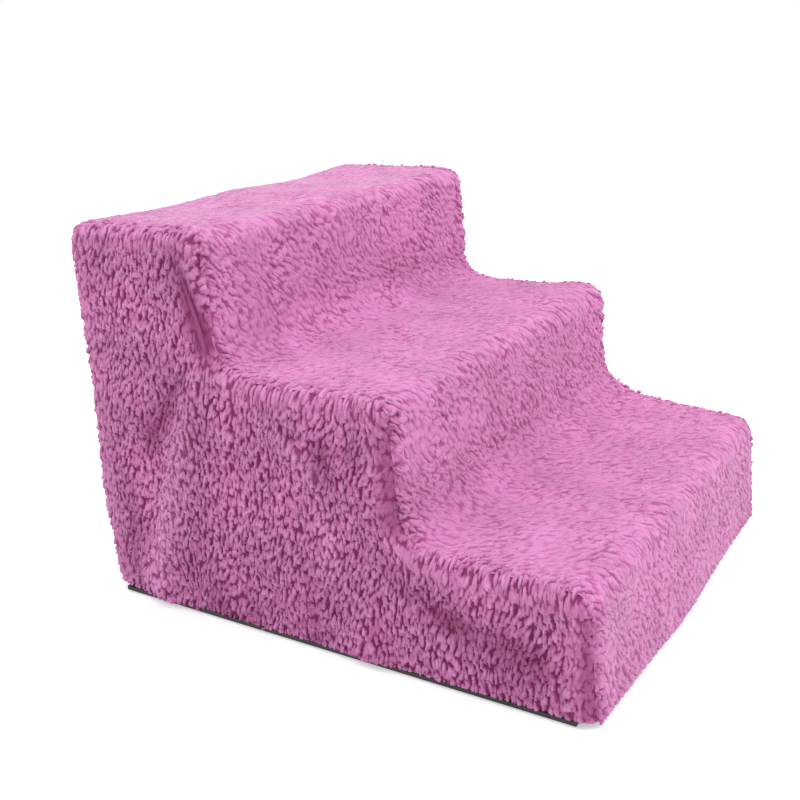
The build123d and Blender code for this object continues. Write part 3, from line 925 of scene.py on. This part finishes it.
def side_mesh(name, side, folds, seed):
    """Backing of a hanging side, rounded along the seam and folded below it."""
    rings = [edge_place(angle) for angle in np.linspace(SEAM_ANGLE - SEAM_LAP, math.pi / 2, 7)]
    views = [side_view(inset) for across, inset in rings]
    border = views[-1]
    vertices, faces, start = side_grid(rings, views)
    y, z = vertices[:, 1], vertices[:, 2]

    # How freely the cloth hangs: held along the seam, free below it and at the hem
    inner = rings[2][0]
    wall = np.clip((vertices[:, 0] - inner) / (COVER_SIDE - PILE_DEPTH - inner), 0, 1)
    reach = np.array([gap_to(border, *place) for place in zip(y, z)])
    free = ramp(reach, 34)
    hung = wall * (0.12 + 0.88 * free * free * (3 - 2 * free))
    hung = np.maximum(hung, wall * ramp(40 * MM - z, 40) * 0.8 * ramp(reach, 12))
    swell = fold_height(y, z, folds) + ripple(y, z, 70 * MM, seed) * 0.7 * MM
    vertices[:, 0] += hung * np.clip(swell, -2.6 * MM, 9 * MM)
    vertices[:, 0] *= side
    if side < 0:
        vertices[:, 1] += back_bulge(y - 150 * MM, z)
        vertices[:, 2] += corner_lift(y - 175 * MM, z)

    # The nap: calm and short along the seam, with painted shade in hollows and grooves and painted highlight on
    # crests
    edge = (vertices[:, 0] * side - rings[0][0]) / (9 * MM)
    beside = np.min(np.abs(np.subtract.outer(z, np.array(STEP_HEIGHTS) - 7 * MM)), axis=1)
    on_tread = fading(beside - 4 * MM, 6)
    near_riser = (side < 0) * (z > UPPER_RISER_FOOT) * (1 - on_tread) * (y < 120 * MM)
    kept = 0.45 + 0.40 * on_tread - 0.25 * near_riser
    kept = kept + (1 - kept) * np.clip(edge * 9 / 4, 0, 1) ** 0.5
    hollow_shade, painted_highlight = (
        np.clip(fold_height(y, z, rows) / MM, 0, 1) * hung * (side < 0) for rows in (LEFT_PAINTED_SHADE, LEFT_PAINTED_HIGHLIGHTS)
    )
    groove = np.zeros(len(y))
    for top, foot, width, share in SEAM_GROOVES:
        line = fold_height(y, z, ((*top, *foot, width, width, 1000),))
        groove = np.maximum(groove, np.clip(line * 1.6, 0, 1) * share)
    bend = ripple(y, z, 60 * MM, seed + 4) * 5 * MM
    lean = 0.12 + 0.35 * ripple(y, z * 0.3, 26 * MM, seed + 2)
    fields = {
        "lay": np.stack((0 * y, lean, -np.ones(len(y))), axis=1),
        "cover": np.clip((0.06 + 0.9 * np.clip(1 - edge * 1.6, 0, 1)) * (1 - 1.4 * groove), 0, 1),
        "calm": np.maximum(0.6 * groove, 0.5 * np.exp(-reach / (9 * MM))),
        # Painted shade in the grooves and hollows
        "painted_shade": np.maximum(groove, 0.8 * hollow_shade),
        # Painted highlight on the crests
        "painted_highlight": painted_highlight,
        "full": kept * (1 - 0.8 * groove),
        "clump place": np.stack((y + bend, -z, 0 * y), axis=1),
    }
    faces = paired(faces, vertices)
    if side > 0:
        vertices[:, 1:] += seam_shift(border, y, z, start, reach)
        faces = [face[::-1] for face in faces]
    return facing(mesh_of(name, vertices, faces, np.stack((y, z), axis=1), fields), (side, 0, 0))


def back_mesh(name):
    """Backing of the back panel."""
    half = edge_place(SEAM_ANGLE)[0]
    columns = edge_columns(BACK_STEP)
    heights = np.linspace(HEM_HEIGHT, BACK_TOP, round((BACK_TOP - HEM_HEIGHT) / MESH_STEP) + 1)
    vertices = np.array([(x, COVER_BACK - inset, z) for z in heights for x, inset in columns])
    x, z = vertices[:, 0], vertices[:, 2]
    hung = ramp(half - np.abs(x), 30) * ramp(BACK_TOP - z, 60)
    swell = fold_height(x, z, BACK_FOLDS) + ripple(x, z, 80 * MM, 31) * 0.6 * MM
    vertices[:, 1] += hung * swell
    vertices[:, 1] += back_bulge(-x - 112 * MM, z)
    vertices[:, 2] += corner_lift(-x - 130 * MM, z)
    aside = 0.3 * ripple(x, z * 0.3, 26 * MM, 33)
    fields = {
        "lay": np.stack((aside, 0 * x, -np.ones(len(x))), axis=1),
        "cover": 0.05 + 0.85 * ramp(np.abs(x) - half + 12 * MM, 12) ** 2,
        "calm": np.full(len(x), 0.1),
        "full": 0.45 + 0.55 * ramp(half - np.abs(x), 4) ** 0.5,
        "clump place": np.stack((x, -z, 0 * x), axis=1),
    }
    faces = [face[::-1] for face in grid_faces(len(heights), len(columns))]
    return facing(mesh_of(name, vertices, faces, np.stack((x, z), axis=1), fields), (0, 1, 0))


NAP_TREE = nap_tree()
CURLS_TREE = curls_tree()
THREADS_TREE = threads_tree()


def pile_on(name, mesh, nap, seed):
    """The nap of a cloth and the loose curls on it."""
    made = []
    for title, tree, sizes, material in (("nap_", NAP_TREE, nap, NAP), ("curls_", CURLS_TREE, CURLS, CURL)):
        piece = grown(title + name, mesh.copy(), tree, {**sizes, "Seed": seed, "Finish": material})
        made.append(piece)
    return made


def fleece(name, mesh, node):
    """The knitted backing of a piece of fleece, in place of a node of the frame."""
    cloth = solid(put(name, mesh), BACKING_THICKNESS, BACKING)
    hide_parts(node)
    return cloth


step_cloth = fleece("step_fleece", strip_mesh("step_fleece"), "cover_step_strip")
step_piles = []
for step, first, last in zip(STEPS, (0, LOWER_END, MIDDLE_END), (LOWER_END + 1, MIDDLE_END + 1, STRIP_ROWS)):
    step_piles += pile_on(step + "_step", strip_mesh(step + "_step", first, last), STEP_NAP, 3)

for name, side, folds, seed in (("left", -1, LEFT_FOLDS, 11), ("right", 1, RIGHT_FOLDS, 12)):
    mesh = side_mesh("side_fleece_" + name, side, folds, seed)
    pile = pile_on("side_" + name, mesh, SIDE_NAP, seed)
    cloth = fleece("side_fleece_" + name, mesh, "cover_side_" + name)

mesh = back_mesh("back_fleece")
pile = pile_on("back", mesh, SIDE_NAP, 21)
cloth = fleece("back_fleece", mesh, "cover_back_panel")


def welt(name, across, top, foot):
    """Smooth ridge of the seam that shows where the pile parts, placed in mm."""
    curve = bpy.data.curves.new(name, "CURVE")
    curve.dimensions = "3D"
    curve.bevel_depth = 1.5 * MM
    curve.bevel_resolution = 3
    curve.use_fill_caps = True
    spline = curve.splines.new("NURBS")
    spline.points.add(6)
    for point, share in zip(spline.points, np.linspace(0, 1, 7)):
        y, z = (a + (b - a) * share for a, b in zip(top, foot))
        sway = math.sin(share * 7.0) * 1.2
        sink = 1.6 * (2 * share - 1) ** 4
        point.co = ((across + (sink if across < 0 else -sink)) * MM, (y + sway) * MM, z * MM, 1)
    spline.order_u = 3
    spline.use_endpoint_u = True
    mesh = plain_mesh(stood(name + " line", curve), name)
    mesh.shade_smooth()
    mesh.materials.append(CURL)
    # The welt gets painted shade, like the groove it lies in
    for field, value in (("calm", 0.9), ("along", 0.7), ("painted_shade", 0.8)):
        held = mesh.attributes.new(field, "FLOAT", "POINT")
        held.data.foreach_set("value", np.full(len(mesh.vertices), value, np.float32))
    put(name, mesh)


for name, across, top, foot in WELTS:
    welt("seam_welt_" + name, across, top, foot)


# Tapes inside the cover


def ribbon(name, node, first, second, towards=None):
    """Woven tape between two lines of points, in place of a node of the frame."""
    rows = np.stack((first, second), axis=1)
    width = float(np.linalg.norm(second[0] - first[0]))
    uv = [(length, side) for length in lengths_along(first) for side in (0, width)]
    mesh = mesh_of(name, rows.reshape(-1, 3), grid_faces(len(first), 2), uv, {})
    tape = solid(put(name, facing(mesh, towards) if towards else mesh), TAPE_BOARD, TAPE, 0)
    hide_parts(node)
    return tape


def seam_lines(side, depths, inwards, above_hem):
    """Lines of points along a seam at depths under the pile, from above the hem."""
    views = [side_view(CLOTH + depth) for depth in depths]
    kept = views[0][:, 1] > HEM_HEIGHT + above_hem
    kept[0] = kept[-1] = False
    x = side * (SEAM_ACROSS - TAPE_THICKNESS / 2 - inwards)
    return [np.insert(view[kept], 0, x, axis=1) for view in views]


for name, side in (("left", -1), ("right", 1)):
    outer, inner = seam_lines(side, (0, 10 * MM), 0, 12 * MM)
    tape = ribbon("seam_binding_" + name, "seam_tape_" + name, outer, inner, (-side, 0, 0))

box_low, box_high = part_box("hem_tape")
x0, x1 = box_low.x + TAPE_THICKNESS / 2, box_high.x - TAPE_THICKNESS / 2
y0, y1 = box_low.y + TAPE_THICKNESS / 2 + 0.3 * MM, box_high.y - TAPE_THICKNESS / 2
ring = [(x0, y0), (x1, y0), (x1, y1), (x0, y1), (x0, y0)]
line = [
    (ax + (bx - ax) * share, ay + (by - ay) * share)
    for (ax, ay), (bx, by) in zip(ring, ring[1:])
    for share in np.arange(12) / 12
] + ring[-1:]
lower, upper = (np.array([(x, y, z) for x, y in line]) for z in (box_low.z + 0.3 * MM, box_high.z))
tape = ribbon("hem_binding", "hem_tape", lower, upper)


# Stitches, hooks and loops


def spaced(line, pitch):
    """Places evenly spaced along a line of points, and the way the line runs there."""
    steps = np.diff(line, axis=0)
    lengths = lengths_along(line)
    count = max(2, round(lengths[-1] / pitch))
    at = (np.arange(count) + 0.5) * lengths[-1] / count
    places = np.stack([np.interp(at, lengths, line[:, axis]) for axis in range(3)], axis=1)
    ways = steps[np.clip(np.searchsorted(lengths, at) - 1, 0, len(steps) - 1)]
    return places, ways / np.linalg.norm(ways, axis=1)[:, None]


def threads(name, rows, sizes, material, slot_name, body="cover"):
    """Small threads at the places of several rows: (places, ways they run, way out)."""
    places, runs = (np.concatenate([row[part] for row in rows]) for part in (0, 1))
    outwards = np.concatenate([np.broadcast_to(np.array(row[2], float), row[0].shape) for row in rows])
    mesh = mesh_of(name, places, [], np.zeros((len(places), 2)), {"run": runs, "outward": outwards})
    piece = grown(name, mesh, THREADS_TREE, {**sizes, "Seed": THREADS_SEED, "Finish": material}, body)
    return piece


stitch_rows = []
for side in (-1, 1):
    for depth in (2 * MM, 8 * MM):
        (line,) = seam_lines(side, (depth,), 0.3 * MM, 14 * MM)
        stitch_rows.append((*spaced(line, STITCH_PITCH), (-side, 0, 0)))
for (ax, ay), (bx, by) in zip(ring, ring[1:]):
    inwards = np.array((ay - by, bx - ax, 0)) / math.hypot(bx - ax, by - ay)
    for z in (box_low.z + 2 * MM, box_high.z - 2 * MM):
        line = np.array([(ax, ay, z), (bx, by, z)]) + inwards * 0.3 * MM
        stitch_rows.append((*spaced(line, STITCH_PITCH), inwards))
threads("binding_stitches", stitch_rows, STITCH, THREAD, "binding_tape")


def patch_outline(inset=0.0):
    """Points round a patch with rounded corners, about its middle."""
    points = []
    for turn, corner in enumerate(((1, 1), (-1, 1), (-1, -1), (1, -1))):
        for angle in np.linspace(0, math.pi / 2, 4) + turn * math.pi / 2:
            spoke = (PATCH_CORNER - inset) * np.array((math.cos(angle), math.sin(angle)))
            points.append(corner * (PATCH_SIZE / 2 - PATCH_CORNER) + spoke)
    return np.array(points)


def patches(name, gap, facing_out, material, body):
    """Tape patches on the sides and back, and places on them for threads and stitches."""
    side_face, back_face = SEAM_ACROSS - gap, COVER_BACK - CLOTH - gap
    middles = [
        ((side * side_face, y, PATCH_MIDDLE), (0, 1, 0), (side, 0, 0))
        for side in (-1, 1)
        for y in (-161 * MM, 162 * MM)
    ]
    middles += [((side * 85.5 * MM, back_face, PATCH_MIDDLE), (1, 0, 0), (0, 1, 0)) for side in (-1, 1)]
    outline, seam = patch_outline(), patch_outline(1.8 * MM)
    seam = np.vstack((seam, seam[:1]))
    columns, lines = (np.arange(-size / 2 + 3 * MM, size / 2 - 3 * MM, HOOK_PITCH) for size in PATCH_SIZE)
    grid = np.array([(x + (row % 2) * HOOK_PITCH / 2, y) for row, y in enumerate(lines) for x in columns])
    rise = np.array((0, 0, 1.0))
    surface = PATCH_LIFT + PATCH_BOARD / 2
    vertices, faces, places, seams = [], [], [], []
    for middle, run, way in middles:
        run, way = np.array(run, float), np.array(way, float) * facing_out

        def set_on(points, height):
            return np.array(middle) + np.outer(points[:, 0], run) + np.outer(points[:, 1], rise) + way * height

        loop = tuple(range(len(vertices), len(vertices) + len(outline)))
        vertices += set_on(outline, PATCH_LIFT).tolist()
        faces.append(loop if np.cross(run, rise) @ way > 0 else loop[::-1])
        places.append((set_on(grid, surface), np.tile(run, (len(grid), 1)), way))
        seams.append((*spaced(set_on(seam, surface), PATCH_STITCH_PITCH), way))
    uv = np.tile(outline, (len(middles), 1))
    piece = put(name, mesh_of(name, np.array(vertices), faces, uv, {}), body)
    piece.data.shade_flat()
    solid(piece, PATCH_BOARD, material, 0)
    return piece, places, seams


hook_tapes, hook_places, _ = patches("hook_tapes", PATCH_GAP, 1, HOOK_TAPE, "frame")
hooks = threads("hooks", hook_places, HOOKED, HOOK, "hook_tape", "frame")
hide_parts("hook_patches")
loop_tapes, loop_places, seams = patches("loop_tapes", 0, -1, LOOP_TAPE, "cover")
loops = threads("loops", loop_places, LOOPED, LOOP, "loop_tape")
patch_stitches = threads("patch_stitches", seams, STITCH, THREAD, "loop_tape")
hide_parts("loop_patches")


# Floor, light and camera


def seen_by(tree, *rays):
    """1 for the kinds of ray that see a thing, 0 for those that only light."""
    path = tree.add("ShaderNodeLightPath")
    seen, *others = (Wire(tree, path, f"Is {ray} Ray") for ray in rays)
    for other in others:
        seen = seen.reckon("MAXIMUM", other)
    return seen


def emptied(owner):
    """The node tree of a material or a world, without the nodes that it came with."""
    owner.use_nodes = True
    owner.node_tree.nodes.clear()
    return Tree(owner.node_tree)


def studio():
    """Pale floor, white world and three lamps."""
    bpy.ops.mesh.primitive_plane_add(size=14, location=(0, 0, 0))
    floor = bpy.context.object
    floor.name = "floor"
    material = bpy.data.materials.new("pale floor")
    tree = emptied(material)
    seen = seen_by(tree, "Camera", "Glossy")
    diffuse = tree.out("ShaderNodeBsdfDiffuse", {"Color": (0.86, 0.85, 0.86, 1)})
    glow = tree.out("ShaderNodeEmission", {"Color": (1, 1, 1, 1), "Strength": 0.42})
    both = tree.out("ShaderNodeAddShader", {0: diffuse, 1: glow})
    chosen = tree.out("ShaderNodeMixShader", {0: seen, 1: diffuse, 2: both})
    tree.add("ShaderNodeOutputMaterial", {"Surface": chosen})
    floor.data.materials.append(material)

    world = bpy.data.worlds.new("studio")
    bpy.context.scene.world = world
    tree = emptied(world)
    seen = seen_by(tree, "Camera", "Glossy", "Transmission")
    fill = tree.out("ShaderNodeBackground", {"Color": (1.0, 0.98, 1.0, 1), "Strength": 0.75})
    white = tree.out("ShaderNodeBackground", {"Color": (1, 1, 1, 1), "Strength": 1.0})
    tree.add("ShaderNodeOutputWorld", {"Surface": tree.out("ShaderNodeMixShader", {0: seen, 1: fill, 2: white})})

    for name, place, aim, size, power in (
        ("key", (0.5, -1.6, 2.15), (0, 0, 0.15), 1.6, 33.0),
        ("top", (-0.5, 0.3, 2.5), (0, 0, 0.1), 1.4, 15.0),
        ("side", (-0.95, 0.75, 0.85), (-0.18, 0.1, 0.2), 0.6, 1.9),
    ):
        lamp = bpy.data.lights.new(name, "AREA")
        lamp.shape = "SQUARE"
        lamp.size = size
        lamp.energy = power
        holder = stood(name, lamp)
        holder.location = place
        holder.rotation_euler = (Vector(aim) - Vector(place)).to_track_quat("-Z", "Y").to_euler()


def photograph_camera():
    """Camera where the photo was taken from."""
    azimuth, elevation, roll = (math.radians(angle) for angle in CAMERA_ANGLES)
    flat = math.cos(elevation)
    back = Vector((math.sin(azimuth) * flat, -math.cos(azimuth) * flat, math.sin(elevation)))
    right = Vector((0, 0, 1)).cross(back).normalized()
    turned = right * math.cos(roll) + back.cross(right) * math.sin(roll)
    camera = bpy.data.cameras.new("camera")
    camera.lens = CAMERA_LENS
    camera.sensor_width = 36
    camera.shift_x, camera.shift_y = CAMERA_SHIFT
    holder = stood("camera", camera)
    axes = Matrix((turned, back.cross(turned), back)).transposed().to_4x4()
    holder.matrix_world = Matrix.Translation(CAMERA_PLACE) @ axes
    bpy.context.scene.camera = holder


studio()
photograph_camera()
bpy.context.scene.view_settings.view_transform = "Standard"
